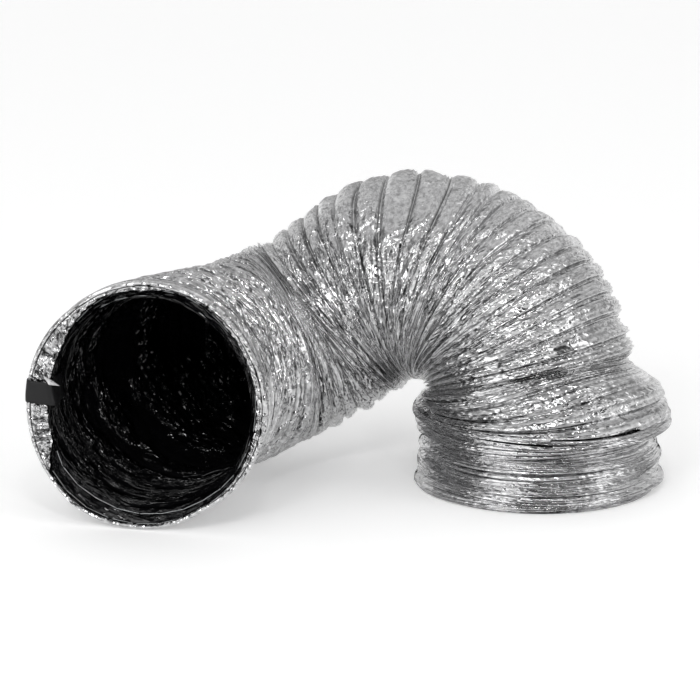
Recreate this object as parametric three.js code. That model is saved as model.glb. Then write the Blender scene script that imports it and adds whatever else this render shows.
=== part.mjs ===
// Flexible air duct, nominal 200 mm (8 in): a spring-wire helix between a black inner
// liner and an outer aluminium-foil sleeve. One end stands packed flat on the floor, the
// middle is pulled out into an arch and the other end lies packed behind the open mouth.
//
// The three layers are continuous on the real duct. Here each is divided into the same
// row of sections along the centreline, and the joints stand between the sections.
// Units are millimetres and degrees, +Z is up, and the floor is at Z = 0.

import * as THREE from 'three';
import { mergeVertices } from 'three/addons/utils/BufferGeometryUtils.js';

// Layers, as radii from the centreline
const LINER_INNER = 96;
const LINER_OUTER = 97;
const COIL_RADIUS = 101;
const WIRE_RADIUS = 0.45;
const PACKED_COIL_INNER = 100;
const PACKED_COIL_OUTER = 101.5;
const FOIL_INNER = 103.8;
const FOIL_VALLEY = 105;

// How far apart the turns lie on the inside of a bend that pinches them together
const PINCHED_PITCH = 1.2;

// Facets round each layer, and the steepest bend that one straight stretch may span
const FOIL_FACETS = 18;
const LINER_FACETS = 14;
const COIL_STEPS_PER_TURN = 14;
const BEND_PER_STRETCH = 7.5;

// Clearances: between the sections of one layer, and before each end of a coil
const SECTION_GAP = 0.5;
const COIL_END_GAP = 0.9;

// The hem folded over the mouth, and the tape stuck across it
const HEM_INNER = 97.5;
const HEM_OUTER = 117;
const HEM_THICKNESS = 3;
const HEM_GAP = 0.5;
const TAPE_RISE = 7;
const TAPE_WIDTH = 22;
const TAPE_THICKNESS = 1;
const TAPE_INNER = 91.6;
const TAPE_OUTER = 119.5;
const TAPE_DEPTH_INSIDE = 34;
const TAPE_DEPTH_OUTSIDE = 14;

// Foot of the centreline, which puts the lowest foil face on the floor
const FOOT = new THREE.Vector3(187.8, 7.4, -SECTION_GAP / 2);

// The sections in order from the foot to the mouth. turns is how many turns of the wire a
// section holds, and pitch is how far apart they lie along the centreline. A section with
// no pitch is pinched shut on the inside of its bend. heading (anticlockwise from +X) and
// rise (up from level) give the direction in which it ends, crest is the radius of its
// outermost folds, and lips is how many of them the foil shows. foot is the radius of the
// fold that the duct stands on, and shift is how far along X the packed turns slip over
// the section's length. An open section is pulled out so far that its wire is a visible
// helix, and its foil has one fold a turn.
const SECTIONS = [
  { name: 'stack_1', turns: 12, pitch: 1.75, heading: 180, rise: 90, crest: 123, lips: 3, foot: 118 },
  { name: 'stack_2', turns: 12, pitch: 1.75, heading: 180, rise: 90, crest: 120, lips: 3 },
  { name: 'stack_3', turns: 12, pitch: 1.75, heading: 180, rise: 90, crest: 118, lips: 3 },
  { name: 'stack_top', turns: 10, pitch: 1.4, heading: 180, rise: 90, crest: 126, lips: 2, shift: -13 },
  { name: 'arch_1', turns: 6, heading: 135, rise: 74, crest: 109, lips: 6, open: true },
  { name: 'arch_2', turns: 5, heading: 145, rise: 48, crest: 106.5, lips: 5, open: true },
  { name: 'arch_3', turns: 5, heading: 155, rise: 24, crest: 106.5, lips: 5, open: true },
  { name: 'arch_4', turns: 5, heading: 165, rise: -12, crest: 106.5, lips: 5, open: true },
  { name: 'arch_5', turns: 6, pitch: 14, heading: 185, rise: -42, crest: 106.5, lips: 6, open: true },
  { name: 'run_1', turns: 5, heading: 205, rise: -15, crest: 106.5, lips: 5, open: true },
  { name: 'run_2', turns: 5, heading: 230, rise: -4, crest: 106.5, lips: 5, open: true },
  { name: 'run_3', turns: 6, pitch: 14.5, heading: 250, rise: 4, crest: 107, lips: 6, open: true },
  { name: 'mouth_1', turns: 5, pitch: 9, heading: 255, rise: 0, crest: 110, lips: 4 },
  { name: 'mouth_2', turns: 4, pitch: 4, heading: 257, rise: 0, crest: 114, lips: 2 },
  { name: 'mouth_3', turns: 4, pitch: 4, heading: 257, rise: 0, crest: 117, lips: 2 },
  { name: 'mouth_4', turns: 7, pitch: 6, heading: 257, rise: 0, crest: 118, lips: 4 },
];

const AHEAD = new THREE.Vector3(0, 0, 1);

const materials = {
  foil: () => new THREE.MeshStandardMaterial({ color: 0xc4c5c7, metalness: 0.9, roughness: 0.32 }),
  liner: () => new THREE.MeshStandardMaterial({ color: 0x0b0b0c, metalness: 0, roughness: 0.25 }),
  wire: () => new THREE.MeshStandardMaterial({ color: 0x8d8f92, metalness: 1, roughness: 0.4 }),
  tape: () => new THREE.MeshStandardMaterial({ color: 0x151516, metalness: 0, roughness: 0.5 }),
};

// Unit vector of a heading and a rise.
function direction(heading, rise) {
  const level = THREE.MathUtils.degToRad(heading);
  const up = THREE.MathUtils.degToRad(rise);
  return new THREE.Vector3(
    Math.cos(up) * Math.cos(level),
    Math.cos(up) * Math.sin(level),
    Math.sin(up),
  );
}

// Adds to a section, in its own frame (it starts along +Z), how far it bends, which way,
// and its length along the centreline.
function measureBend(section, turnOfFrame) {
  const local = direction(section.heading, section.rise).applyQuaternion(turnOfFrame.clone().invert());
  section.bend = local.angleTo(AHEAD);
  section.inward = new THREE.Vector3(1, 0, 0);
  if (section.bend > 1e-6) section.inward.set(local.x, local.y, 0).normalize();
  section.turnAtEnd = new THREE.Quaternion().setFromUnitVectors(AHEAD, local);
  const pinchedLength = PINCHED_PITCH * section.turns + PACKED_COIL_OUTER * section.bend;
  section.length = section.pitch ? section.pitch * section.turns : pinchedLength;
}

// Moves a point of the straight section, whose axis runs up +Z, onto the section's arc.
function bendPoint(point, section) {
  if (section.bend < 1e-6) {
    point.x += (section.shift ?? 0) * point.z / section.length;
    return point;
  }
  const across = new THREE.Vector3().crossVectors(AHEAD, section.inward);
  const arcRadius = section.length / section.bend;
  const angle = section.bend * point.z / section.length;
  const reach = arcRadius - point.dot(section.inward);
  const sideways = point.dot(across);
  return point
    .copy(section.inward)
    .multiplyScalar(arcRadius - reach * Math.cos(angle))
    .addScaledVector(across, sideways)
    .addScaledVector(AHEAD, reach * Math.sin(angle));
}

function bendGeometry(geometry, section) {
  const positions = geometry.attributes.position;
  const point = new THREE.Vector3();
  for (let i = 0; i < positions.count; i += 1) {
    bendPoint(point.fromBufferAttribute(positions, i), section);
    positions.setXYZ(i, point.x, point.y, point.z);
  }
  return geometry;
}

// A ring turned round +Z from a profile of (radius, height) points that closes on itself.
function ring(profile, facets) {
  const geometry = new THREE.LatheGeometry([...profile, profile[0].clone()], facets);
  geometry.deleteAttribute('normal');
  geometry.deleteAttribute('uv');
  geometry.rotateX(Math.PI / 2);
  return mergeVertices(geometry, 1e-4);
}

// Heights that divide a stretch evenly, from low to high.
function heights(low, high, parts) {
  return Array.from({ length: parts + 1 }, (_, i) => low + (high - low) * i / parts);
}

function stretches(section) {
  return Math.max(1, Math.ceil(THREE.MathUtils.radToDeg(section.bend) / BEND_PER_STRETCH));
}

// A plain tube wall between two radii.
function wallProfile(inner, outer, section, top) {
  const levels = heights(SECTION_GAP / 2, top, stretches(section));
  const outside = levels.map((height) => new THREE.Vector2(outer, height));
  const inside = levels.map((height) => new THREE.Vector2(inner, height)).reverse();
  return [...outside, ...inside];
}

// The foil's wall: a smooth inside, and an outside that folds out between the turns.
function foilProfile(section, top) {
  const base = SECTION_GAP / 2;
  const fold = (top - base) / section.lips;
  const outside = [new THREE.Vector2(section.foot ?? FOIL_VALLEY, base)];
  for (let lip = 0; lip < section.lips; lip += 1) {
    outside.push(new THREE.Vector2(section.crest, base + fold * (lip + 0.5)));
    outside.push(new THREE.Vector2(FOIL_VALLEY, base + fold * (lip + 1)));
  }
  const levels = heights(base, top, stretches(section));
  const inside = levels.map((height) => new THREE.Vector2(FOIL_INNER, height)).reverse();
  return [...outside, ...inside];
}

// The wire's path in an open section. It starts and ends on the outside of the bend.
class HelixPath extends THREE.Curve {
  constructor(section) {
    super();
    this.section = section;
    this.startAngle = Math.atan2(-section.inward.y, -section.inward.x);
  }

  getPoint(t, target = new THREE.Vector3()) {
    const angle = this.startAngle + 2 * Math.PI * this.section.turns * t;
    const height = COIL_END_GAP + (this.section.length - 2 * COIL_END_GAP) * t;
    target.set(COIL_RADIUS * Math.cos(angle), COIL_RADIUS * Math.sin(angle), height);
    return bendPoint(target, this.section);
  }

  // Steps at equal angles, so that the steps of neighbouring turns lie side by side.
  getUtoTmapping(u) {
    return u;
  }
}

function helix(section) {
  const corners = [0, 1, 2].map((i) => new THREE.Vector2(
    WIRE_RADIUS * Math.cos(2 * Math.PI * i / 3),
    WIRE_RADIUS * Math.sin(2 * Math.PI * i / 3),
  ));
  return new THREE.ExtrudeGeometry(new THREE.Shape(corners), {
    steps: section.turns * COIL_STEPS_PER_TURN,
    extrudePath: new HelixPath(section),
  });
}

// The turns of a packed section lie on each other, so they are one thick ring.
function packedCoil(section, top) {
  const profile = [
    new THREE.Vector2(PACKED_COIL_OUTER, COIL_END_GAP),
    new THREE.Vector2(PACKED_COIL_OUTER, top - COIL_END_GAP),
    new THREE.Vector2(PACKED_COIL_INNER, top - COIL_END_GAP),
    new THREE.Vector2(PACKED_COIL_INNER, COIL_END_GAP),
  ];
  return bendGeometry(ring(profile, FOIL_FACETS), section);
}

// The end of the foil folded flat over the front of the mouth.
function hem(section) {
  const back = section.length - HEM_THICKNESS;
  const profile = [
    new THREE.Vector2(HEM_OUTER, back),
    new THREE.Vector2(HEM_OUTER, section.length),
    new THREE.Vector2(HEM_INNER, section.length),
    new THREE.Vector2(HEM_INNER, back),
  ];
  return ring(profile, FOIL_FACETS);
}

// A strip of tape that runs from the outside of the mouth over the hem into the bore, on
// the side that is on the left as one looks into the mouth, a little above the middle.
function tapeStrip(section, turnOfFrame) {
  const front = section.length + HEM_GAP;
  const inset = TAPE_THICKNESS;
  const outline = new THREE.Shape([
    new THREE.Vector2(TAPE_OUTER, section.length - TAPE_DEPTH_OUTSIDE),
    new THREE.Vector2(TAPE_OUTER + inset, section.length - TAPE_DEPTH_OUTSIDE),
    new THREE.Vector2(TAPE_OUTER + inset, front + inset),
    new THREE.Vector2(TAPE_INNER, front + inset),
    new THREE.Vector2(TAPE_INNER, section.length - TAPE_DEPTH_INSIDE),
    new THREE.Vector2(TAPE_INNER + inset, section.length - TAPE_DEPTH_INSIDE),
    new THREE.Vector2(TAPE_INNER + inset, front),
    new THREE.Vector2(TAPE_OUTER, front),
  ]);
  const geometry = new THREE.ExtrudeGeometry(outline, { depth: TAPE_WIDTH, bevelEnabled: false });
  geometry.translate(0, 0, -TAPE_WIDTH / 2);
  geometry.rotateX(Math.PI / 2);
  const outward = direction(section.heading - 90, TAPE_RISE).applyQuaternion(turnOfFrame.clone().invert());
  return geometry.rotateZ(Math.atan2(outward.y, outward.x));
}

function add(group, name, geometry, material) {
  const mesh = new THREE.Mesh(geometry, material);
  mesh.name = name;
  group.add(mesh);
}

const duct = new THREE.Group();
duct.position.copy(FOOT);

let group = duct;
const turnOfFrame = new THREE.Quaternion();
for (const section of SECTIONS) {
  measureBend(section, turnOfFrame);
  const isMouth = section === SECTIONS.at(-1);
  const top = section.length - (isMouth ? HEM_THICKNESS + HEM_GAP : SECTION_GAP / 2);

  const foil = ring(foilProfile(section, top), FOIL_FACETS);
  add(group, `outer_foil_${section.name}`, bendGeometry(foil, section), materials.foil());

  const liner = ring(wallProfile(LINER_INNER, LINER_OUTER, section, top), LINER_FACETS);
  add(group, `inner_liner_${section.name}`, bendGeometry(liner, section), materials.liner());

  const wire = section.open ? helix(section) : packedCoil(section, top);
  add(group, `spring_wire_${section.name}`, wire, materials.wire());

  if (isMouth) {
    add(group, 'mouth_hem', hem(section), materials.foil());
    add(group, 'mouth_tape', tapeStrip(section, turnOfFrame), materials.tape());
  }

  const next = new THREE.Group();
  next.name = `after_${section.name}`;
  bendPoint(next.position.set(0, 0, section.length), section);
  next.quaternion.copy(section.turnAtEnd);
  group.add(next);
  group = next;
  turnOfFrame.multiply(section.turnAtEnd);
}

export default duct;
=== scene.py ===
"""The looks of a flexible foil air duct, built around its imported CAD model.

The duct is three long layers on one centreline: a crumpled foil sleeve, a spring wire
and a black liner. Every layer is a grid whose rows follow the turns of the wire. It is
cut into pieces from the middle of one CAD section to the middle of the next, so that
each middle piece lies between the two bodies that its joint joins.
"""

import math

import bpy
import numpy as np
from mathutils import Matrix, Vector


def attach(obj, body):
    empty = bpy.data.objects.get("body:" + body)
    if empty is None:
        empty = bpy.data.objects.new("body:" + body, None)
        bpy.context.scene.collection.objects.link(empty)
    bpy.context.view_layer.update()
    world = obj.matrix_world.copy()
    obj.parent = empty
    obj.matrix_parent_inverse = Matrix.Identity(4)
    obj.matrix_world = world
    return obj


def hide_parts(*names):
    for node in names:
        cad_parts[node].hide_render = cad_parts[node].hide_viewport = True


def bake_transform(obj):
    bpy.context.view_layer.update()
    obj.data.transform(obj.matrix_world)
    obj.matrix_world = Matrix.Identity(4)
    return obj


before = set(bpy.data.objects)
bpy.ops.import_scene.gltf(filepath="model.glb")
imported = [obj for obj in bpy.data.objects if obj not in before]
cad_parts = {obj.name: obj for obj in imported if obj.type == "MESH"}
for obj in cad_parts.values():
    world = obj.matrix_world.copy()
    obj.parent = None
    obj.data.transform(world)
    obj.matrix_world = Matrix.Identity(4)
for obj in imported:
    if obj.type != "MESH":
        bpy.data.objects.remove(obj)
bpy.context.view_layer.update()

MM = 0.001
TAU = 2 * math.pi

# ---------------------------------------------------------------- driving dimensions
# The centreline as the CAD has it: a row of sections, each with its turns of wire, the
# pitch of the turns in mm, the heading and rise in degrees in which it ends, and its
# sideways shift along X in mm. A section with no pitch is pinched shut on the inside of
# its bend: there its turns lie PINCHED_PITCH apart, PINCH_RADIUS from the centreline. FOOT
# is where the centreline starts. All three are in mm.
FOOT = (187.8, 7.4, -0.25)
PINCHED_PITCH = 1.2
PINCH_RADIUS = 101.5
SECTIONS = [
    ("stack_1", 12, 1.75, 180, 90, 0),
    ("stack_2", 12, 1.75, 180, 90, 0),
    ("stack_3", 12, 1.75, 180, 90, 0),
    ("stack_top", 10, 1.4, 180, 90, -13),
    ("arch_1", 6, None, 135, 74, 0),
    ("arch_2", 5, None, 145, 48, 0),
    ("arch_3", 5, None, 155, 24, 0),
    ("arch_4", 5, None, 165, -12, 0),
    ("arch_5", 6, 14, 185, -42, 0),
    ("run_1", 5, None, 205, -15, 0),
    ("run_2", 5, None, 230, -4, 0),
    ("run_3", 6, 14.5, 250, 4, 0),
    ("mouth_1", 5, 9, 255, 0, 0),
    ("mouth_2", 4, 4, 257, 0, 0),
    ("mouth_3", 4, 4, 257, 0, 0),
    ("mouth_4", 7, 6, 257, 0, 0),
]

# Radii from the centreline in mm, how far the wire's corners lie from its own middle, and
# the width of foil between two turns of the wire when pulled flat.
LINER_AT_WIRE = 98.6
WIRE_RADIUS = 101.0
WIRE_CORNER = 0.4
FOIL_AT_WIRE = 102.2
FOIL_WIDTH = 28.0
# How far the foil's brim and the hem's bead stand out beyond FOIL_AT_WIRE at the mouth.
BRIM_DEPTH = 14.5
BEAD_DEPTH = 14.0
# Least clearances off the liner, and how far the liner's end leads at the mouth.
FOIL_OFF_LINER = 1.2
WIRE_OFF_LINER = 0.7
LINER_LEAD = 1.2
# The foil's crumples: height and size in mm, and their seed.
CRUMPLES = [(0.6, 15.0, 11), (0.36, 8.5, 12)]

# How far the foil folds out beyond the wire, in mm, against the turn number.
FOLD_DEPTH = [
    (0, 20), (8, 22), (17, 20.5), (28, 13.5), (31, 12.5), (36, 23), (42, 25), (47.3, 23),
    (48.2, 9.5), (50.3, 3), (52, 6), (54, 5), (90, 5), (104, 11), (109, 16),
]
# How far the turns have slipped off the centreline along X and Z, in mm.
SLIP = [
    (0, 0, 0), (8, 0, 0), (25, 3.5, 0), (34, 0, 0), (36, 4, 0), (41, 10, 0), (46, 18.5, 0),
    (47.2, 17, 0), (48.6, 3, 0), (50.3, 0, 0), (52, 7, 2), (56, 6, 5), (60, 1, 1), (66, 0, 0),
    (68, 1, -2), (72, 6, -9), (76, 1, -1), (82, 1, -4), (88, 0, 0), (109, 0, 0),
]
# The turns' radius as a share of the nominal one. It drops where they lean over.
NARROWING = [
    (0, 1), (50, 1), (54, 0.975), (60, 0.985), (66, 0.985), (70, 0.94), (80, 0.94), (88, 0.97),
    (93, 1), (109, 1),
]
# The mouth is not quite round. Angles in degrees, anticlockwise from the right as one
# looks into it: how far its outline is off the round, and the radius of the hem's edge.
MOUTH_OUTLINE = [
    (0, 1), (60, 5), (90, 3.5), (130, -2.5), (180, -1.5), (235, 6.5), (250, 5), (300, -5),
    (335, -2), (360, 1),
]
HEM_EDGE = [
    (0, 109), (20, 111), (60, 117.5), (75, 117), (90, 112), (110, 111.5), (145, 96), (160, 94),
    (190, 95), (203, 98), (218, 119), (240, 121), (270, 116.5), (305, 108.5), (345, 107.5),
    (360, 109),
]
HEM_COLUMNS = 480
# The foil tucked in under the stack, from its outer to its inner radius in mm.
BASE_RING_RADIUS = 117.0
BASE_RING_INNER = 97.5
BASE_RING_ROWS = 7

# How strongly each strip is gathered into fine pleats, from 0 to 1, against the turn.
PLEATING = [
    (0, 0.0), (45.5, 0.0), (46.5, 1.0), (52, 1.0), (55, 0.55), (59, 0.2), (70, 0.12), (78, 0.2),
    (84, 0.2), (90, 0.15), (109, 0.1),
]
# Small pleats in the foil from one turn of the wire to the next: place and height. The
# first kind lies along one side of the wire, the second fills a strip that is half open,
# and the third is how a deep fold gathers where the turns part.
WIRE_PLEATS = [
    (0, 0), (0.06, -0.7), (0.1, 1), (0.15, -1), (0.2, 0.9), (0.27, -0.6), (0.38, 0), (1, 0),
]
STRIP_PLEATS = [
    (0, 0), (0.1, -1), (0.2, 1), (0.27, -0.6), (0.38, 1), (0.5, -1), (0.62, 0.8), (0.74, -1),
    (0.84, 1), (0.91, -0.8), (1, 0),
]
DEEP_PLEATS = [
    (0, -1.3), (0.1, -0.6), (0.2, 1), (0.27, -0.5), (0.38, 0.5), (0.5, -1), (0.62, 1), (0.74, -0.7),
    (0.84, 0.6), (0.91, -0.4), (1, -1.3),
]

# Grid sizes: columns round each layer, and where the rows lie between two turns.
FOIL_COLUMNS = 288
FOIL_ROWS_OPEN = (0.0, 0.025, 0.06, 0.1, 0.15, 0.2, 0.27, 0.38, 0.5, 0.62, 0.74, 0.84, 0.91, 0.965)
FOIL_ROWS_PACKED = (0.0, 0.25, 0.5, 0.75)
LINER_COLUMNS = 96
LINER_ROWS_OPEN = (0.0, 0.12, 0.37, 0.63, 0.88)
LINER_ROWS_PACKED = (0.0, 0.5)
WIRE_STEPS_PER_TURN = 30
WIRE_SIDES = 4

# Noise: the size of its tables, the steps of its lines, and the seed of it all.
TABLE_ROWS_PER_TURN = 4
TABLE_COLUMNS = 96
LINE_STEPS_PER_TURN = 72
SEED = 7

# Pitches in mm: turns nearer together than PACKED_PITCH gather in groups, turns further
# apart than EVEN_PITCH hardly do, and LEAST_PITCH is as near as two folds may come.
PACKED_PITCH = 2.2
EVEN_PITCH = 9.0
LEAST_PITCH = 0.35
# Below CLOSED_PITCH a strip of foil or liner is folded shut, and above OPEN_PITCH open.
CLOSED_PITCH = 2.5
OPEN_PITCH = 11.0

# Where the seam of every layer lies in a section's own frame, in radians.
SEAM = math.pi / 2


def smoothstep(low, high, value):
    t = np.clip((value - low) / (high - low), 0.0, 1.0)
    return t * t * (3.0 - 2.0 * t)


# ---------------------------------------------------------------- centreline
def direction(heading, rise):
    level, up = math.radians(heading), math.radians(rise)
    return np.array([math.cos(up) * math.cos(level), math.cos(up) * math.sin(level), math.sin(up)])


def rotation_between(a, b):
    """The 3x3 matrix that turns unit vector a onto b by the shortest way."""
    quaternion = Vector(a).rotation_difference(Vector(b))
    return np.array(quaternion.to_matrix())


class Section:
    """One constant bend of the centreline, from turn first to turn last."""

    def __init__(self, name, first, turns, pitch, start, basis, end_direction, shift):
        self.name, self.first, self.turns = name, first, turns
        self.last = first + turns
        self.middle = first + turns / 2
        self.start, self.basis, self.shift = start, basis, shift
        local = basis.T @ end_direction
        self.bend = math.acos(max(-1.0, min(1.0, local[2])))
        flat = np.array([local[0], local[1], 0.0])
        self.inward = flat / np.linalg.norm(flat) if self.bend > 1e-6 else np.array([1.0, 0, 0])
        self.across = np.cross([0, 0, 1.0], self.inward)
        pinched_length = PINCHED_PITCH * turns + PINCH_RADIUS * self.bend
        self.length = pitch * turns if pitch else pinched_length

    def place(self, share, x, y):
        """Points at a share of the length, x and y mm off the centreline in the section's frame."""
        share, x, y = np.broadcast_arrays(share, x, y)
        if self.bend < 1e-6:
            local = np.stack([x + self.shift * share, y, self.length * share], axis=-1)
            return self.start + local @ self.basis.T
        inner = x * self.inward[0] + y * self.inward[1]
        sideways = x * self.across[0] + y * self.across[1]
        arc_radius = self.length / self.bend
        angle = self.bend * share
        reach = arc_radius - inner
        local = (
            (arc_radius - reach * np.cos(angle))[..., None] * self.inward
            + sideways[..., None] * self.across
            + (reach * np.sin(angle))[..., None] * np.array([0, 0, 1.0])
        )
        return self.start + local @ self.basis.T


def build_sections():
    sections, first = [], 0
    start, basis = np.array(FOOT, float), np.eye(3)
    for name, turns, pitch, heading, rise, shift in SECTIONS:
        end = direction(heading, rise)
        section = Section(name, first, turns, pitch, start, basis, end, shift)
        sections.append(section)
        start = section.place(np.array(1.0), np.array(0.0), np.array(0.0))
        basis = rotation_between(basis[:, 2], end) @ basis
        first += turns
    return sections


sections = build_sections()
TURNS = sections[-1].last

# The mouth's end: its middle, the way it faces, and its right and up as one looks in.
MOUTH_NORMAL = direction(*SECTIONS[-1][3:5])
MOUTH_RIGHT = np.array([-MOUTH_NORMAL[1], MOUTH_NORMAL[0], 0.0])
MOUTH_UP = np.array([0, 0, 1.0])
MOUTH_MIDDLE = sections[-1].place(np.array(1.0), np.array(0.0), np.array(0.0))


def mouth_degrees(angle):
    """Degrees anticlockwise from the mouth's right of angles measured from the seam."""
    x_axis = sections[-1].basis[:, 0]
    offset = math.atan2(x_axis @ MOUTH_UP, x_axis @ MOUTH_RIGHT)
    return np.degrees(angle + SEAM + offset) % 360


def per_section(turn, value):
    """value(section) for each turn number in the array."""
    result = np.zeros(turn.shape)
    for section in sections:
        inside = (turn >= section.first) & (turn <= section.last)
        result[inside] = value(section)
    return result


# ---------------------------------------------------------------- seeded noise
def noise_table(seed, turn_spread, angle_spread):
    """A smooth random table over (turn, angle), with mean 0 and deviation 1."""
    rows = int(TURNS * TABLE_ROWS_PER_TURN) + 1
    random = np.random.default_rng(SEED + seed)
    table = random.standard_normal((rows, TABLE_COLUMNS))
    row_wave = np.fft.fftfreq(rows) * TABLE_ROWS_PER_TURN * turn_spread
    column_wave = np.fft.fftfreq(TABLE_COLUMNS) * TABLE_COLUMNS / 360 * angle_spread
    blur = np.exp(-2 * math.pi ** 2 * (row_wave[:, None] ** 2 + column_wave[None, :] ** 2))
    table = np.fft.ifft2(np.fft.fft2(table) * blur).real
    return (table - table.mean()) / table.std()


def look_up(table, turn, angle):
    """The table's value at turn numbers and angles in radians."""
    row = np.clip(turn, 0, TURNS) * TABLE_ROWS_PER_TURN
    column = (angle / TAU * TABLE_COLUMNS) % TABLE_COLUMNS
    r0 = np.minimum(np.floor(row).astype(int), table.shape[0] - 2)
    c0 = np.floor(column).astype(int)
    fr, fc = row - r0, column - c0
    c0, c1 = c0 % TABLE_COLUMNS, (c0 + 1) % TABLE_COLUMNS
    low = table[r0, c0] * (1 - fc) + table[r0, c1] * fc
    high = table[r0 + 1, c0] * (1 - fc) + table[r0 + 1, c1] * fc
    return low * (1 - fr) + high * fr


def line_noise(seed, spread_degrees):
    """A smooth random line along the wire: a function of the angle wound up so far."""
    random = np.random.default_rng(SEED + seed)
    values = random.standard_normal(int(TURNS * LINE_STEPS_PER_TURN) + 1)
    wave = np.fft.fftfreq(values.size) * LINE_STEPS_PER_TURN / 360 * spread_degrees
    values = np.fft.ifft(np.fft.fft(values) * np.exp(-2 * math.pi ** 2 * wave ** 2)).real
    values = (values - values.mean()) / values.std()

    def at(winding):
        step = winding / TAU * LINE_STEPS_PER_TURN
        return np.interp(step, np.arange(values.size), values)

    return at


def zigzag(value):
    """A triangle wave between -1 and 1 with period 1."""
    return 4 * np.abs(value - np.floor(value + 0.5)) - 1


def crumple(x, y, size, seed, folds=7):
    """Straight creases in random directions over flat foil (x and y in mm), mean 0."""
    random = np.random.default_rng(SEED + seed)
    height = np.zeros(np.broadcast(x, y).shape)
    for _ in range(folds):
        angle = random.uniform(0, math.pi)
        length = size * random.uniform(0.7, 1.8)
        phase = random.uniform(0, 1, 3)
        warp = 0.35 * np.sin(TAU * ((x * 0.8 - y) / (size * 4.3) + phase[1]))
        warp += 0.3 * np.sin(TAU * ((x + y * 1.3) / (size * 6.1) + phase[2]))
        height += zigzag((x * math.cos(angle) + y * math.sin(angle)) / length + phase[0] + warp)
    return height / math.sqrt(folds)


# ---------------------------------------------------------------- shape of the layers
SPACING = noise_table(1, 0.8, 30)
GROUPS = noise_table(2, 2.2, 40)
LIPS = noise_table(3, 0.4, 22)
SLACK = noise_table(4, 0.35, 12)
CRUSH = noise_table(7, 1.2, 30)
strip_depth = line_noise(5, 16)
strip_skew = line_noise(6, 20)
strip_pleats = line_noise(8, 24)


def strip_of(turn, angle):
    """How far across its strip of foil a point lies, from 0 to 1, and the angle wound up there."""
    strip = turn - angle / TAU
    across = strip - np.floor(strip)
    winding = np.floor(strip) * TAU + angle + TAU
    return across, winding


def from_table(value, rows):
    """The value of a table of (place, value) rows at each place."""
    return np.interp(value, *zip(*rows))


def section_pitch(turn):
    """The pitch of the turns along the centreline, in mm."""
    return per_section(turn, lambda s: s.length / s.turns)


def spaced_turns():
    """Uneven spacing of the turns: a table from turn number to the place on the centreline.

    Packed turns gather in groups with grooves between them. Each section keeps its length.
    """
    turn = np.arange(SPACING.shape[0]) / TABLE_ROWS_PER_TURN
    pitch = section_pitch(turn)
    unevenness = 0.95 - 0.75 * smoothstep(PACKED_PITCH, EVEN_PITCH, pitch)
    weight = np.exp(unevenness[:, None] * SPACING)
    total = np.vstack([np.zeros(TABLE_COLUMNS), np.cumsum((weight[1:] + weight[:-1]) / 2, axis=0)])
    table = np.zeros_like(total)
    for section in sections:
        low = int(section.first * TABLE_ROWS_PER_TURN)
        high = int(section.last * TABLE_ROWS_PER_TURN)
        share = (total[low:high + 1] - total[low]) / (total[high] - total[low])
        table[low:high + 1] = section.first + share * section.turns
    return table


PLACES = spaced_turns()


def place(turn, angle, radius, ahead=0.0):
    """World points in mm at turn numbers, angles from the seam and radii from the centreline.

    ahead is how far past the end plane of the mouth a point lies, in mm.
    """
    turn, angle, radius, ahead = np.broadcast_arrays(turn, angle, radius, ahead)
    spot = look_up(PLACES, turn, angle)
    slip_turns, slip_x, slip_z = zip(*SLIP)
    radius = radius * from_table(turn, NARROWING)
    around = angle + SEAM
    points = np.zeros(turn.shape + (3,))
    for section in sections:
        inside = (turn >= section.first) & (turn <= section.last)
        share = np.clip((spot[inside] - section.first) / section.turns, 0, 1)
        x = radius[inside] * np.cos(around[inside])
        y = radius[inside] * np.sin(around[inside])
        points[inside] = section.place(share, x, y)
    points[..., 0] += np.interp(turn, slip_turns, slip_x)
    points[..., 2] += np.interp(turn, slip_turns, slip_z)
    return points + ahead[..., None] * MOUTH_NORMAL


def inner_side(turn, angle):
    """1 on the inside of a bend, -1 on its outside, and the bend in radians per turn."""
    around = angle + SEAM
    facing = np.zeros(turn.shape)
    bend = np.zeros(turn.shape)
    for section in sections:
        inside = (turn >= section.first) & (turn <= section.last)
        x, y = np.cos(around[inside]), np.sin(around[inside])
        facing[inside] = x * section.inward[0] + y * section.inward[1]
        bend[inside] = section.bend / section.turns
    return facing, bend


def local_pitch(turn, angle, radius):
    """The pitch in mm at a radius: less than the section's inside a bend, and more outside."""
    facing, bend = inner_side(turn, angle)
    return section_pitch(turn) - bend * radius * facing


def foil_openness(turn, angle):
    """0 where the turns lie on each other, and 1 where they are pulled apart."""
    return smoothstep(CLOSED_PITCH, OPEN_PITCH, local_pitch(turn, angle, FOIL_AT_WIRE))


def foil_looseness(turn, angle):
    """0 where the outside of a bend pulls the foil smooth, and 1 where it is slack."""
    facing, bend = inner_side(turn, angle)
    squeeze = facing * bend * FOIL_AT_WIRE / section_pitch(turn)
    return smoothstep(-0.85, 0.05, squeeze)


def foil_painted_shade(turn, angle):
    """Painted shade for the foil's colour: 1 in the grooves beside the wire and between fine pleats,
    which are darkened to stand in for their shade, and 0 away from them.
    """
    across, winding = strip_of(turn, angle)
    pitch = local_pitch(turn, angle, FOIL_AT_WIRE)
    from_wire = np.minimum(across, 1 - across) * pitch
    strength = np.clip(0.6 + 0.45 * strip_pleats(winding), 0.15, 1.2)
    beside_wire = foil_openness(turn, angle) * strength * np.exp(-((from_wire - 1.1) / 0.8) ** 2)
    trough = np.clip(-from_table(across, STRIP_PLEATS), 0, 1)
    fine = from_table(turn, PLEATING) * smoothstep(1.5, 4.0, pitch)
    at_wire = smoothstep(3.0, 5.0, pitch) * smoothstep(11.0, 7.0, pitch)
    between_lips = 0.75 * at_wire * np.exp(-(from_wire / 0.8) ** 2)
    return np.maximum(np.maximum(beside_wire, 0.7 * fine * trough), between_lips)


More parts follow.
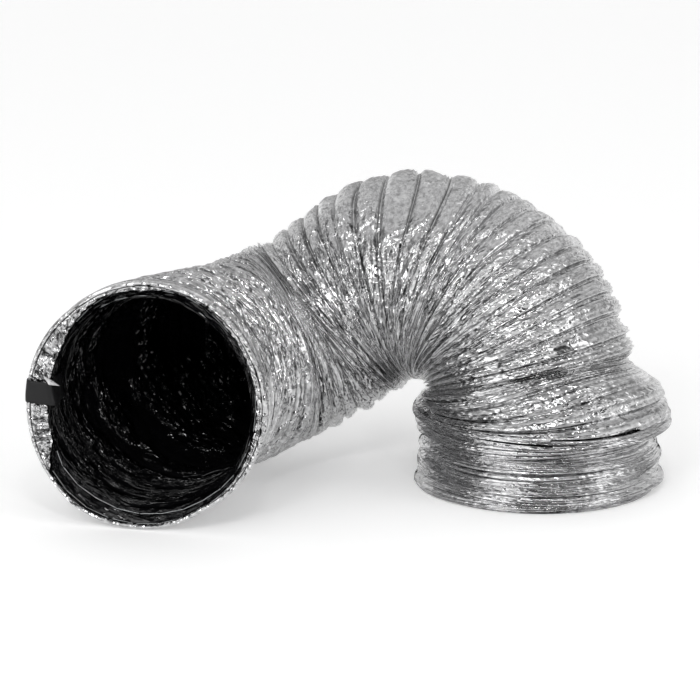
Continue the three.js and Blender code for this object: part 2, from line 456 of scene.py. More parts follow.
def fold_depth(turn, angle, openness):
    """How far the foil folds out beyond the wire, in mm, as far as it has the room."""
    _, winding = strip_of(turn, angle)
    depth = from_table(turn, FOLD_DEPTH)
    at_mouth = smoothstep(95.0, 105.0, turn)
    depth = depth + at_mouth * from_table(mouth_degrees(angle), MOUTH_OUTLINE)
    unevenness = 1.5 * look_up(LIPS, turn, angle) + 2.2 * look_up(GROUPS, turn, angle) - 1.6
    depth = depth * (1 + 0.12 * openness * strip_depth(winding))
    depth = depth + (1 - openness) * (1 - at_mouth * 0.7) * unevenness
    facing, bend = inner_side(turn, angle)
    closing = np.maximum(bend * facing, 1e-6)
    room = (section_pitch(turn) - LEAST_PITCH) / closing - FOIL_AT_WIRE
    return np.minimum(depth, np.maximum(room, 0.6))


def fold_shape(turn, angle, openness, gathers, depth):
    """The fold of each strip in mm: a bulge where it is open, a crest where it is shut."""
    across, winding = strip_of(turn, angle)
    skew = 0.14 * openness * strip_skew(winding)
    leaned = np.clip(across + skew * np.sin(math.pi * across), 0, 1)
    bulge = np.sin(math.pi * leaned) ** 0.55
    crest = 1 - np.abs(2 * leaned - 1)
    shape = depth * (openness * bulge + (1 - openness) * crest)
    fullness = 0.8 + 0.02 * look_up(LIPS, turn, angle)
    deep = depth * fullness + 1.7 * from_table(across, DEEP_PLEATS)
    return shape + gathers * (deep - shape)


def fine_relief(turn, angle, openness, gathers, pitch):
    """Crumples, pleats and the ridge and grooves along the wire, in mm."""
    across, winding = strip_of(turn, angle)
    x = FOIL_AT_WIRE * angle
    y = FOIL_WIDTH * turn
    fine = from_table(turn, PLEATING)
    slack = look_up(SLACK, turn, angle)
    loose = foil_looseness(turn, angle)
    crush = np.clip((0.2 + 1.2 * loose) * (1 + 0.5 * look_up(CRUSH, turn, angle)), 0.1, 2.2)
    held = np.sin(math.pi * across) ** 0.5
    wrinkles = sum(height * crumple(x, y, size, seed) for height, size, seed in CRUMPLES)
    relief = openness ** 2 * (1 - 0.6 * fine) * held * (crush * wrinkles + 0.7 * slack)

    pleated = np.clip(0.35 + 0.6 * strip_pleats(winding), 0, 1.3)
    relief += 0.75 * openness * pleated * from_table(across, WIRE_PLEATS)
    depth_of_pleats = np.clip(0.17 * pitch, 0.2, 1.5) * fine * (1 - gathers)
    relief += depth_of_pleats * from_table(across, STRIP_PLEATS)
    from_wire = np.minimum(across, 1 - across) * pitch
    ridge = 0.9 * np.exp(-(from_wire / 0.6) ** 2) - 1.9 * np.exp(-((from_wire - 1.4) / 0.8) ** 2)
    return relief + ridge * openness * (1 - gathers)


def foil_radius(turn, angle):
    """Radius of the foil in mm, with the folds, bulges and crumples between the turns."""
    openness = foil_openness(turn, angle)
    pitch = local_pitch(turn, angle, FOIL_AT_WIRE)
    depth = fold_depth(turn, angle, openness)
    gathers = smoothstep(6.0, 11.0, depth) * smoothstep(2.9, 4.4, pitch)
    radius = FOIL_AT_WIRE + fold_shape(turn, angle, openness, gathers, depth)
    radius = radius + fine_relief(turn, angle, openness, gathers, pitch)

    foot = 1 - smoothstep(0.0, 0.9, turn)
    radius = radius + foot * (BASE_RING_RADIUS - radius)
    brim = smoothstep(TURNS - 1.2, TURNS - 0.2, turn)
    radius = radius + brim * (brim_radius(angle) - radius)
    return np.maximum(radius, liner_radius(turn, angle) + FOIL_OFF_LINER)


def brim_radius(angle):
    """Radius of the foil where it turns over the front of the mouth."""
    return FOIL_AT_WIRE + BRIM_DEPTH + from_table(mouth_degrees(angle), MOUTH_OUTLINE)


def liner_radius(turn, angle):
    """Radius of the liner in mm, which is held by the wire and flares out at the mouth."""
    across, _ = strip_of(turn, angle)
    pitch = local_pitch(turn, angle, LINER_AT_WIRE)
    openness = smoothstep(CLOSED_PITCH, OPEN_PITCH, pitch)
    x = LINER_AT_WIRE * angle
    y = FOIL_WIDTH * turn
    sag = (0.2 + 1.8 * openness) * np.sin(math.pi * across)
    wrinkles = (0.3 + 0.9 * openness) * crumple(x, y, 17.0, 21)
    radius = LINER_AT_WIRE - sag + np.clip(wrinkles, -1.6, 1.0)
    flare = smoothstep(TURNS - 3.6, TURNS - 0.3, turn) ** 1.5
    edge = from_table(mouth_degrees(angle), HEM_EDGE) + 2.0
    edge = edge + 1.3 * crumple(x, y, 9.0, 22) * (1 - smoothstep(TURNS - 0.6, TURNS, turn))
    edge = np.minimum(edge, brim_radius(angle) - 1.4)
    return radius + flare * (edge - radius)


# ---------------------------------------------------------------- meshes
def new_mesh(name, points_mm, faces, uvs=None, smooth=True):
    """An object in metres from points in mm. uvs are the flat foil's mm for each face corner."""
    mesh = bpy.data.meshes.new(name)
    mesh.from_pydata((np.asarray(points_mm) * MM).tolist(), [], faces)
    if uvs is not None:
        layer = mesh.uv_layers.new(name="flat")
        layer.data.foreach_set("uv", (np.asarray(uvs) * MM).astype(np.float32).ravel())
    mesh.polygons.foreach_set("use_smooth", [smooth] * len(mesh.polygons))
    mesh.update()
    obj = bpy.data.objects.new(name, mesh)
    bpy.context.scene.collection.objects.link(obj)
    return obj


def helical_grid(low, high, row_places, columns):
    """Turn numbers, angles and faces of a sleeve from turn low to turn high.

    Its rows climb one turn on each round, as the wire does, and its two ends are cut
    square. Returns the vertices' turns and angles, the faces, and the corners' turns and
    angles, where the last column's angle is a full turn.
    """
    rows_per_turn = len(row_places)
    first_turn, last_turn = math.floor(low) - 1, math.ceil(high)
    row_turns = [turn + part for turn in range(first_turn, last_turn) for part in row_places]
    row_turns.append(last_turn)
    row_count = len(row_turns)
    angles = np.arange(columns + 1) * TAU / columns
    turns = np.array(row_turns)[:, None] + angles[None, :] / TAU
    tolerance = 1e-6
    below, above = turns <= low + tolerance, turns >= high - tolerance

    index = np.arange(row_count * columns).reshape(row_count, columns)
    last_below = np.maximum(below[:, :columns].sum(axis=0) - 1, 0)
    first_above = row_count - above[:, :columns].sum(axis=0)
    for column in range(columns):
        index[below[:, column], column] = index[last_below[column], column]
        if first_above[column] < row_count:
            index[above[:, column], column] = index[first_above[column], column]
    seam = np.full((row_count, 1), -1)
    seam[:row_count - rows_per_turn, 0] = index[rows_per_turn:, 0]
    seam[row_count - rows_per_turn:, 0] = index[-1, 0]
    index = np.hstack([index, seam])

    clipped = np.clip(turns, low, high)
    faces, corner_turns, corner_angles = [], [], []
    for r in range(row_count - 1):
        for c in range(columns):
            if clipped[r + 1, c] - clipped[r, c] < tolerance and (
                clipped[r + 1, c + 1] - clipped[r, c + 1] < tolerance
            ):
                continue
            corners = [(r, c), (r, c + 1), (r + 1, c + 1), (r + 1, c)]
            kept, seen = [], set()
            for corner in corners:
                if index[corner] not in seen:
                    seen.add(index[corner])
                    kept.append(corner)
            if len(kept) < 3:
                continue
            faces.append([int(index[corner]) for corner in kept])
            corner_turns.extend(clipped[corner] for corner in kept)
            corner_angles.extend(angles[corner[1]] for corner in kept)

    used = np.unique([i for face in faces for i in face])
    renumber = np.full(row_count * columns, -1)
    renumber[used] = np.arange(used.size)
    faces = [[int(renumber[i]) for i in face] for face in faces]
    vertex_turns = clipped[:, :columns].ravel()[used]
    vertex_angles = np.tile(angles[:columns], row_count)[used]
    return vertex_turns, vertex_angles, faces, np.array(corner_turns), np.array(corner_angles)


def spans():
    """(lower turn, upper turn, body, next body) of each piece; the end pieces have one body."""
    rows = [(0.0, sections[0].middle, sections[0].name, None)]
    for near, far in zip(sections[:-1], sections[1:]):
        rows.append((near.middle, far.middle, near.name, far.name))
    rows.append((sections[-1].middle, float(TURNS), sections[-1].name, None))
    return rows


def join_to_bodies(obj, low, high, body, next_body):
    """Rides on one body; a piece between two bodies is only baked where it lies."""
    if next_body is None:
        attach(obj, body)
        return
    near = Vector(place(np.array(low), np.array(0.0), np.array(0.0)) * MM)
    far = Vector(place(np.array(high), np.array(0.0), np.array(0.0)) * MM)
    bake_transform(obj)


def settle(obj, material, span, layer):
    """Gives a piece its material, sets an end piece on its one body, and hides the CAD node that it
    stands for.

    Each middle piece stands for the node of its lower body, and the last for its own.
    """
    low, high, body, next_body = span
    obj.data.materials.append(material)
    join_to_bodies(obj, low, high, body, next_body)
    if next_body is not None or low > 0:
        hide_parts(f"{layer}_{body}")


def is_packed(low, high):
    ends = section_pitch(np.array([low, high]))
    return bool(ends.max() < PACKED_PITCH * 2)


def add_values(obj, name, values):
    """A number for each point, which the foil's material reads."""
    attribute = obj.data.attributes.new(name, "FLOAT", "POINT")
    count = len(obj.data.vertices)
    attribute.data.foreach_set("value", np.broadcast_to(values, (count,)).astype(np.float32))


def make_foil(material):
    for number, span in enumerate(spans(), start=1):
        low, high = span[:2]
        rows = FOIL_ROWS_PACKED if is_packed(low, high) else FOIL_ROWS_OPEN
        turns, angles, faces, corner_turns, corner_angles = helical_grid(low, high, rows, FOIL_COLUMNS)
        points = place(turns, angles, foil_radius(turns, angles))
        uvs = np.stack([corner_angles * FOIL_AT_WIRE, corner_turns * FOIL_WIDTH], axis=-1)
        obj = new_mesh(f"foil_sleeve_{number:02d}", points, faces, uvs)
        add_values(obj, "packed", 1 - foil_openness(turns, angles))
        add_values(obj, "loose", foil_looseness(turns, angles))
        # The painted shade in the foil's grooves, which darkens its colour.
        add_values(obj, "crease", foil_painted_shade(turns, angles))
        settle(obj, material, span, "outer_foil")


def make_liner(material):
    for number, span in enumerate(spans(), start=1):
        low, high = span[:2]
        shut = is_packed(low, high) and high < TURNS
        rows = LINER_ROWS_PACKED if shut else LINER_ROWS_OPEN
        turns, angles, faces, corner_turns, corner_angles = helical_grid(low, high, rows, LINER_COLUMNS)
        points = place(turns, angles, liner_radius(turns, angles), liner_ahead(turns))
        uvs = np.stack([corner_angles * LINER_AT_WIRE, corner_turns * FOIL_WIDTH], axis=-1)
        faces = [face[::-1] for face in faces]
        uvs = reverse_corners(uvs, faces)
        obj = new_mesh(f"black_liner_{number:02d}", points, faces, uvs)
        settle(obj, material, span, "inner_liner")


def liner_ahead(turn):
    return LINER_LEAD * smoothstep(TURNS - 1.5, TURNS, turn)


def reverse_corners(values, faces):
    """The corner values in the order of faces whose corners have been reversed."""
    result, start = [], 0
    for face in faces:
        result.extend(values[start:start + len(face)][::-1])
        start += len(face)
    return np.array(result)


def wire_tube(path, outward, side):
    """Points and faces of a thin closed bar along a path."""
    corners = []
    for k in range(WIRE_SIDES):
        angle = TAU * k / WIRE_SIDES
        corners.append(path + WIRE_CORNER * (math.cos(angle) * outward + math.sin(angle) * side))
    points = np.stack(corners, axis=1).reshape(-1, 3)
    faces = grid_faces(len(path), WIRE_SIDES, closed=True)
    faces.append(list(range(WIRE_SIDES))[::-1])
    faces.append([len(points) - WIRE_SIDES + k for k in range(WIRE_SIDES)])
    return points, faces


def make_wire(material):
    margin = 0.25
    for number, span in enumerate(spans(), start=1):
        low, high = span[:2]
        start = max(low, margin)
        end = min(high, TURNS - margin)
        steps = int(math.ceil((end - start) * WIRE_STEPS_PER_TURN))
        turns = np.linspace(start, end, steps + 1)
        around = TAU * turns % TAU
        radius = np.maximum(WIRE_RADIUS, liner_radius(turns, around) + WIRE_OFF_LINER)
        path = place(turns, around, radius, liner_ahead(turns))
        outward = place(turns, around, radius + 1.0, liner_ahead(turns)) - path
        outward /= np.linalg.norm(outward, axis=1)[:, None]
        along = np.gradient(path, axis=0)
        along /= np.linalg.norm(along, axis=1)[:, None]
        points, faces = wire_tube(path, outward, np.cross(along, outward))
        obj = new_mesh(f"spring_wire_{number:02d}", points, faces)
        settle(obj, material, span, "spring_wire")


# ---------------------------------------------------------------- the mouth and the foot
def mouth_point(degrees, radius, ahead):
    """World points in mm by angle and radius in the mouth's end plane."""
    degrees, radius, ahead = np.broadcast_arrays(degrees, radius, ahead)
    psi = np.radians(degrees)
    return (
        MOUTH_MIDDLE
        + (radius * np.cos(psi))[..., None] * MOUTH_RIGHT
        + (radius * np.sin(psi))[..., None] * MOUTH_UP
        + ahead[..., None] * MOUTH_NORMAL
    )


def grid_faces(rows, columns, closed):
    faces = []
    for r in range(rows - 1):
        for c in range(columns if closed else columns - 1):
            d = (c + 1) % columns
            low, high = r * columns, (r + 1) * columns
            faces.append([low + c, low + d, high + d, high + c])
    return faces


def gathered(degrees, seed, spacing):
    """Irregular sharp pleats round a ring, about spacing degrees apart, from -1 to 1."""
    random = np.random.default_rng(SEED + seed)
    steps = random.uniform(0.5, 1.5, int(360 / spacing))
    edges = np.concatenate([[0], np.cumsum(steps) * 360 / steps.sum()])
    heights = random.uniform(-1, 1, edges.size) * 0.4
    heights[::2] += 0.6
    heights[1::2] -= 0.6
    heights[-1] = heights[0]
    return np.interp(degrees % 360, edges, heights)


def ring_uvs(faces, flat):
    return np.array([flat[i] for face in faces for i in face])


def ring_flat(degrees, radius):
    return np.stack([np.radians(degrees) * FOIL_AT_WIRE, radius], axis=-1)


def make_mouth_hem(material):
    """The foil's end, gathered over the front of the mouth with a ragged inner edge and painted shade
    in its folds.
    """
    # The bead at the rim: mm beyond the mouth's outline, and mm ahead of its end plane.
    bead = [(0.3, -7.0), (1.0, -3.0), (1.1, 0.2), (0.2, 2.2), (-1.4, 2.9), (-2.6, 2.3), (-3.2, 1.1)]
    # Places across the gathered cuff, from the bead to its ragged edge.
    cuff = [0.06, 0.2, 0.34, 0.48, 0.62, 0.76, 0.9, 1.0]
    degrees = np.arange(HEM_COLUMNS) * 360 / HEM_COLUMNS
    outer = FOIL_AT_WIRE + BEAD_DEPTH + from_table(degrees, MOUTH_OUTLINE)
    edge = from_table(degrees, HEM_EDGE) + 0.9 * gathered(degrees, 31, 2.6)
    edge = np.minimum(edge, outer - 3.8)
    points, flat, folds = [], [], []
    for outward, ahead in bead:
        points.append(mouth_point(degrees, outer + outward, ahead + 0.0 * degrees))
        flat.append(ring_flat(degrees, outer + outward))
        # Painted shade: the bead's last row, where it turns back into the cuff, is darkened.
        folds.append(np.full(degrees.shape, 0.9 if ahead == bead[-1][1] else 0.0))
    start = outer - 3.2
    room = np.clip((start - edge) / 7.0, 0.35, 1.0)
    for across in cuff:
        skewed = degrees + 2.5 * across * gathered(degrees, 35, 9.0)
        lift = 1.5 * gathered(skewed, 32, 3.1) + 0.7 * gathered(skewed, 33, 1.7)
        crush = 1.1 * crumple(degrees * 2.0, np.full(degrees.shape, across * 22), 7.0, 34)
        radius = start + (edge - start) * across
        ahead = 2.4 + room * min(1.0, 2.5 * across) * (lift + crush)
        points.append(mouth_point(degrees, radius, ahead))
        flat.append(ring_flat(degrees, radius))
        # Painted shade where the cuff dips back between its pleats.
        folds.append(np.clip(0.1 - 0.6 * (lift + crush), 0, 1.0))
    faces = grid_faces(len(bead) + len(cuff), HEM_COLUMNS, closed=True)
    uvs = ring_uvs(faces, np.concatenate(flat))
    obj = new_mesh("mouth_hem_foil", np.concatenate(points), faces, uvs, smooth=False)
    add_values(obj, "loose", 1.0)
    # The painted shade of the bead and the cuff, which darkens the foil's colour.
    add_values(obj, "crease", np.concatenate(folds))
    obj.data.materials.append(material)
    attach(obj, "mouth_4")
    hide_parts("mouth_hem")


def make_hem_flap(material):
    """A torn corner of the hem that sticks out over the tape."""
    # Degrees and radius of its corners, and how far each stands ahead of the end plane, in mm.
    corners = [(165.0, 101.0), (166.1, 90.0), (167.5, 82.0), (168.9, 93.0)]
    lifts = [3.6, 5.0, 6.6, 5.8]
    points = [mouth_point(np.array(d), np.array(r), np.array(a)) for (d, r), a in zip(corners, lifts)]
    points.append(sum(points) / len(points) + MOUTH_NORMAL * 0.9)
    faces = [[0, 1, 4], [1, 2, 4], [2, 3, 4], [3, 0, 4]]
    uvs = [(r, d) for face in faces for d, r in [(corners + [(166.9, 91.5)])[i] for i in face]]
    obj = new_mesh("mouth_hem_flap", points, faces, uvs, smooth=False)
    thicken(obj, 0.15)
    obj.data.materials.append(material)
    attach(obj, "mouth_4")


def thicken(obj, thickness_mm):
    solid = obj.modifiers.new("thickness", "SOLIDIFY")
    solid.thickness = thickness_mm * MM
    solid.offset = 0


def make_base_ring(material):
    """The foil's other end, tucked in under the stack."""
    degrees = np.arange(HEM_COLUMNS) * 360 / HEM_COLUMNS
    foot = sections[0]
    points, flat = [], []
    for row in range(BASE_RING_ROWS):
        across = row / (BASE_RING_ROWS - 1)
        radius = BASE_RING_RADIUS + (BASE_RING_INNER - BASE_RING_RADIUS) * across
        radius = radius + 0.8 * across * gathered(degrees, 41, 2.4)
        lift = 0.5 + 1.1 * min(1.0, 3 * across) * (1 + gathered(degrees, 42, 3.8))
        x, y = radius * np.cos(np.radians(degrees)), radius * np.sin(np.radians(degrees))
        spot = foot.place(np.zeros(degrees.shape), x, y)
        spot[:, 2] += lift
        points.append(spot)
        flat.append(ring_flat(degrees, radius))
    faces = grid_faces(BASE_RING_ROWS, HEM_COLUMNS, closed=True)
    uvs = ring_uvs(faces, np.concatenate(flat))
    obj = new_mesh("base_ring_foil", np.concatenate(points), faces, uvs, smooth=False)
    obj.data.materials.append(material)
    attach(obj, "stack_1")


def make_tape(material):
    """A strip of tape from the outside of the mouth over the hem and into the bore."""
    # Radius from the mouth's middle, and distance ahead of its end plane, in mm.
    path = [
        (116.2, -12.0), (116.2, -6.0), (116.3, -1.5), (115.8, 2.4), (114.0, 4.4), (111.0, 5.2),
        (106.0, 5.3), (100.0, 5.2), (94.5, 5.0), (90.0, 4.2), (88.6, 1.0), (89.0, -6.0),
        (90.5, -14.0), (91.5, -24.0), (92.0, -33.0),
    ]
    top, bottom, columns = 21.0, -0.6, 9
    points, flat = [], []
    previous, run = path[0], 0.0
    for radius, ahead in path:
        run += math.dist(previous, (radius, ahead))
        previous = (radius, ahead)
        drop = 0.09 * (radius - 112.0)
        for column in range(columns):
            share = column / (columns - 1)
            height = bottom + (top - bottom) * share + drop
            across = -math.sqrt(radius ** 2 - height ** 2) - 6.0 * (share - 0.5) * (radius < 95)
            ripple = 0.25 * math.sin(0.45 * run + 6.0 * share)
            point = (
                MOUTH_MIDDLE
                + across * MOUTH_RIGHT
                + height * MOUTH_UP
                + (ahead + ripple) * MOUTH_NORMAL
            )
            points.append(point)
            flat.append((run, height))
    faces = grid_faces(len(path), columns, closed=False)
    uvs = ring_uvs(faces, flat)
    obj = new_mesh("mouth_tape_strip", points, faces, uvs)
    thicken(obj, 0.5)
    obj.data.materials.append(material)
    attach(obj, "mouth_4")
    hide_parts("mouth_tape")


# ---------------------------------------------------------------- materials
def new_material(name):
    mat = bpy.data.materials.new(name)
    mat.use_nodes = True
    tree = mat.node_tree
    return mat, tree, tree.nodes["Principled BSDF"]


def feed(tree, socket, value):
    """Links an output to a node's input, or sets the input to a plain value."""
    if isinstance(value, bpy.types.NodeSocket):
        tree.links.new(value, socket)
    else:
        socket.default_value = value


def fill(tree, made, inputs):
    """Feeds a node's inputs by name. A name that is no input is one of its settings."""
    for name, value in inputs.items():
        if name in made.inputs:
            feed(tree, made.inputs[name], value)
        else:
            setattr(made, name, value)
    return made


def node(tree, kind, **inputs):
    return fill(tree, tree.nodes.new(kind), inputs)


def flat_coordinates(tree):
    """Places on the flat foil or film, in metres."""
    return node(tree, "ShaderNodeUVMap", uv_map="flat").outputs["UV"]


def point_value(tree, name):
    """The number that add_values stored under a name."""
    return node(tree, "ShaderNodeAttribute", attribute_name=name).outputs["Fac"]


def maths(tree, operation, first, second):
    made = node(tree, "ShaderNodeMath", operation=operation)
    feed(tree, made.inputs[0], first)
    feed(tree, made.inputs[1], second)
    return made.outputs["Value"]


def vector_maths(tree, operation, first, second, output="Vector"):
    made = node(tree, "ShaderNodeVectorMath", operation=operation)
    feed(tree, made.inputs[0], first)
    feed(tree, made.inputs["Scale" if operation == "SCALE" else 1], second)
    return made.outputs[output]


def total(tree, first, *others):
    for other in others:
        first = maths(tree, "ADD", first, other)
    return first


def product(tree, first, second):
    return maths(tree, "MULTIPLY", first, second)


def remap(tree, value, low, high, to_low, to_high):
    limits = {"From Min": low, "From Max": high, "To Min": to_low, "To Max": to_high}
    return node(tree, "ShaderNodeMapRange", Value=value, **limits).outputs["Result"]


def bumped(tree, height, strength=1.0, distance=1.0):
    """The normal of a surface with a height laid over it."""
    made = node(tree, "ShaderNodeBump", Strength=strength, Distance=distance, Height=height)
    return made.outputs["Normal"]


def noise_2d(tree, coordinates, **inputs):
    settings = {"noise_dimensions": "2D", "Vector": coordinates}
    return node(tree, "ShaderNodeTexNoise", **settings, **inputs)


def grain(tree, coordinates, scale, detail):
    """Even noise in three dimensions."""
    made = node(tree, "ShaderNodeTexNoise", Vector=coordinates, Scale=scale, Detail=detail)
    return made.outputs["Fac"]


def object_grain(tree, scale, detail):
    coordinates = node(tree, "ShaderNodeTexCoord").outputs["Object"]
    return grain(tree, coordinates, scale, detail)


def creases(tree, coordinates, size_mm, slope, seed, folds=6):
    """Height of foil creased along lines in random directions, in metres.

    Each fold is a row of flat strips that slope up and down by slope in turn.
    """
    random = np.random.default_rng(SEED + seed)
    bend = noise_2d(tree, coordinates, Scale=0.22 / (size_mm * MM), Detail=2.0)
    centred = vector_maths(tree, "SUBTRACT", bend.outputs["Color"], (0.5, 0.5, 0.5))
    shift = vector_maths(tree, "SCALE", centred, size_mm * MM * 2.2)
    bent = vector_maths(tree, "ADD", coordinates, shift)
    heights = []
    for _ in range(folds):
        angle = random.uniform(0, math.pi)
        length = size_mm * MM * random.uniform(0.7, 1.9)
        way = (math.cos(angle) / length, math.sin(angle) / length, 0)
        along = vector_maths(tree, "DOT_PRODUCT", bent, way, output="Value")
        heights.append(product(tree, maths(tree, "PINGPONG", along, 0.5), slope * length))
    return total(tree, *heights)


def stretched_noise(tree, coordinates, scale_x, scale_y, detail):
    """Noise drawn out along one direction of the flat foil."""
    stretched = vector_maths(tree, "MULTIPLY", coordinates, (scale_x, scale_y, 1.0))
    return noise_2d(tree, stretched, Scale=1.0, Detail=detail, Roughness=0.6).outputs["Fac"]


def foil_material():
    mat, tree, shader = new_material("crumpled_foil")
    uv = flat_coordinates(tree)
    packed = point_value(tree, "packed")
    open_share = remap(tree, packed, 0.0, 1.0, 1.0, 0.3)
    slackness = remap(tree, point_value(tree, "loose"), 0.0, 1.0, 0.5, 1.1)
    # Painted shade: the foil's colour darkens in its grooves and pleat troughs, standing in for their
    # shade.
    brightness = remap(tree, point_value(tree, "crease"), 0.1, 1.0, 1.0, 0.28)
    patches = remap(tree, stretched_noise(tree, uv, 26.0, 30.0, 2.0), 0.35, 0.65, 0.2, 1.8)
    crush = product(tree, open_share, product(tree, patches, slackness))
    coarse = creases(tree, uv, 9.0, 0.13, 51)
    fine = creases(tree, uv, 3.6, 0.09, 52)
    crushed = product(tree, total(tree, coarse, fine), crush)
    streaks = product(tree, stretched_noise(tree, uv, 14.0, 260.0, 3.0), 0.0012)
    streaks = product(tree, streaks, remap(tree, packed, 0.0, 1.0, 0.12, 1.0))
    wear = stretched_noise(tree, uv, 60.0, 90.0, 4.0)
    mottle = stretched_noise(tree, uv, 170.0, 230.0, 5.0)
    ramp = node(tree, "ShaderNodeValToRGB", Fac=mottle)
    dark, light = ramp.color_ramp.elements
    dark.position = 0.3
    dark.color = (0.42, 0.42, 0.425, 1)
    light.position = 0.62
    light.color = (0.66, 0.66, 0.665, 1)
    fill(tree, shader, {
        "Base Color": vector_maths(tree, "SCALE", ramp.outputs["Color"], brightness),
        "Metallic": 1.0,
        "Roughness": remap(tree, wear, 0.3, 0.7, 0.07, 0.17),
        "Normal": bumped(tree, total(tree, crushed, streaks)),
    })
    return mat


def liner_material():
    mat, tree, shader = new_material("black_liner_film")
    uv = flat_coordinates(tree)
    coarse = creases(tree, uv, 15.0, 0.24, 53)
    fine = creases(tree, uv, 6.0, 0.09, 54)
    patches = remap(tree, stretched_noise(tree, uv, 11.0, 13.0, 1.0), 0.42, 0.62, 0.1, 1.5)
    wear = stretched_noise(tree, uv, 40.0, 60.0, 3.0)
    fill(tree, shader, {
        "Base Color": (0.003, 0.003, 0.0035, 1),
        "Specular IOR Level": 0.36,
        "Roughness": remap(tree, wear, 0.3, 0.7, 0.04, 0.1),
        "Normal": bumped(tree, product(tree, total(tree, coarse, fine), patches)),
    })
    return mat


def wire_material():
    mat, tree, shader = new_material("spring_wire_steel")
    fill(tree, shader, {
        "Base Color": (0.45, 0.46, 0.47, 1),
        "Metallic": 1.0,
        "Roughness": remap(tree, object_grain(tree, 400.0, 2.0), 0.3, 0.7, 0.25, 0.45),
    })
    return mat


def tape_material():
    mat, tree, shader = new_material("black_vinyl_tape")
    texture = object_grain(tree, 900.0, 3.0)
    fill(tree, shader, {
        "Base Color": (0.009, 0.009, 0.0095, 1),
        "Specular IOR Level": 0.25,
        "Roughness": remap(tree, texture, 0.3, 0.7, 0.38, 0.55),
        "Normal": bumped(tree, texture, strength=0.3, distance=0.0002),
    })
    return mat


# ---------------------------------------------------------------- stage
# The camera looks along +Y, from above. Metres, degrees, and mm for the lens and sensor.
CAMERA_ELEVATION = 14.0
CAMERA_DISTANCE = 2.6
CAMERA_TARGET = (0.0009, -0.0433, 0.14575)
CAMERA_LENS = 137.7
CAMERA_SENSOR = 36.0
CAMERA_REACH = 100.0


def make_camera():
    elevation = math.radians(CAMERA_ELEVATION)
    look = Vector((0.0, math.cos(elevation), -math.sin(elevation)))
    data = bpy.data.cameras.new("camera")
    data.sensor_width = CAMERA_SENSOR
    data.lens = CAMERA_LENS
    data.clip_end = CAMERA_REACH
    camera = bpy.data.objects.new("camera", data)
    camera.location = Vector(CAMERA_TARGET) - look * CAMERA_DISTANCE
    camera.rotation_euler = look.to_track_quat("-Z", "Y").to_euler()
    bpy.context.scene.collection.objects.link(camera)
    bpy.context.scene.camera = camera


# Square softboxes: name, degrees to the right of the camera, degrees up, distance and size
# in metres, and radiance. They aim at a point LIGHTS_AIM above the floor.
SOFTBOXES = [
    ("key_left", -16, 31, 3.0, 0.55, 14),
    ("key_right", 17, 25, 3.0, 0.36, 20),
    ("glint", 2, 42, 3.0, 0.22, 40),
]
LIGHTS_AIM = 0.12


def area_light(name, azimuth, elevation, distance, size, radiance):
    a, e = math.radians(azimuth), math.radians(elevation)
    aim = Vector((0.0, 0.0, LIGHTS_AIM))
    offset = Vector((math.sin(a) * math.cos(e), -math.cos(a) * math.cos(e), math.sin(e)))
    data = bpy.data.lights.new(name, "AREA")
    data.size = size
    data.energy = radiance * math.pi * size ** 2
    light = bpy.data.objects.new(name, data)
    light.location = aim + offset * distance
    light.rotation_euler = (-offset).to_track_quat("-Z", "Y").to_euler()
    bpy.context.scene.collection.objects.link(light)


# Brightness of the studio's walls by azimuth, in degrees to the right of the camera.
WALLS = [
    (-180, 0.45), (-155, 1.2), (-128, 0.3), (-104, 0.7), (-80, 0.25), (-62, 0.3), (-54, 3.0),
    (-30, 3.0), (-22, 0.15), (-12, 0.04), (14, 0.04), (42, 0.12), (51, 2.6), (67, 2.6), (76, 0.3),
    (100, 0.8), (120, 0.3), (152, 1.2), (180, 0.45),
]
# The ceiling's darkest and brightest, and the heights between which the walls turn into it.
CEILING_LOW = 0.52
CEILING_HIGH = 0.92
WALLS_TOP = 0.42
CEILING_EDGE = 0.62

FLOOR_REACH = 12.0
FLOOR_DROP = 0.0005


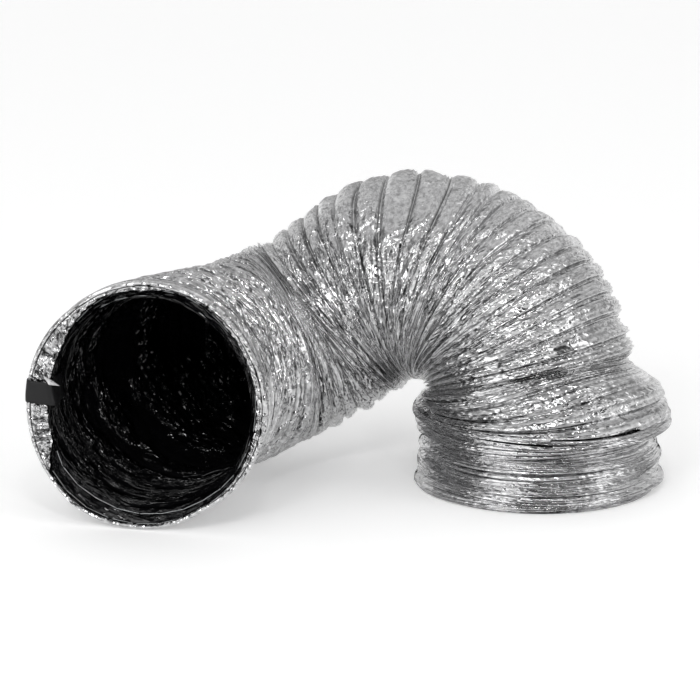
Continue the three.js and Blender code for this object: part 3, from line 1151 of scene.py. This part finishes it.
def make_world():
    """A studio with an even ceiling, and light and dark panels round the walls."""
    world = bpy.data.worlds.new("studio")
    world.use_nodes = True
    tree = world.node_tree
    way = node(tree, "ShaderNodeTexCoord").outputs["Generated"]
    split = node(tree, "ShaderNodeSeparateXYZ", Vector=way)
    towards_camera = product(tree, split.outputs["Y"], -1.0)
    azimuth = maths(tree, "ARCTAN2", split.outputs["X"], towards_camera)
    along = remap(tree, azimuth, -math.pi, math.pi, 0.0, 1.0)
    ramp = node(tree, "ShaderNodeValToRGB", Fac=along)
    elements = ramp.color_ramp.elements
    for number, (degrees, brightness) in enumerate(WALLS):
        position = (degrees + 180) / 360
        element = elements[number] if number < 2 else elements.new(position)
        element.position = position
        element.color = (brightness, brightness, brightness, 1)
    height = remap(tree, split.outputs["Z"], WALLS_TOP, CEILING_EDGE, 0.0, 1.0)
    cloth = grain(tree, way, 5.0, 1.0)
    ceiling = remap(tree, cloth, 0.35, 0.65, CEILING_LOW, CEILING_HIGH)
    walls = ramp.outputs["Color"]
    mix = node(tree, "ShaderNodeMix", data_type="RGBA", Factor=height, A=walls, B=ceiling)
    fill(tree, tree.nodes["Background"], {"Color": mix.outputs["Result"]})
    bpy.context.scene.world = world


def make_stage():
    mesh = bpy.data.meshes.new("floor")
    signs = [(-1, -1), (1, -1), (1, 1), (-1, 1)]
    corners = [(FLOOR_REACH * x, FLOOR_REACH * y, 0) for x, y in signs]
    mesh.from_pydata(corners, [], [(0, 1, 2, 3)])
    floor = bpy.data.objects.new("floor", mesh)
    floor.location.z = -FLOOR_DROP
    bpy.context.scene.collection.objects.link(floor)
    mat, tree, shader = new_material("pale_floor")
    fill(tree, shader, {
        "Base Color": (0.93, 0.93, 0.93, 1),
        "Roughness": 0.9,
        "Emission Color": (1, 1, 1, 1),
        "Emission Strength": 0.24,
    })
    floor.data.materials.append(mat)
    make_world()
    for softbox in SOFTBOXES:
        area_light(*softbox)
    bpy.context.scene.view_settings.view_transform = "Standard"


# ---------------------------------------------------------------- the object
make_camera()
make_stage()
foil = foil_material()
liner = liner_material()
wire = wire_material()
tape = tape_material()
make_foil(foil)
make_liner(liner)
make_wire(wire)
make_mouth_hem(foil)
make_hem_flap(foil)
make_base_ring(foil)
make_tape(tape)
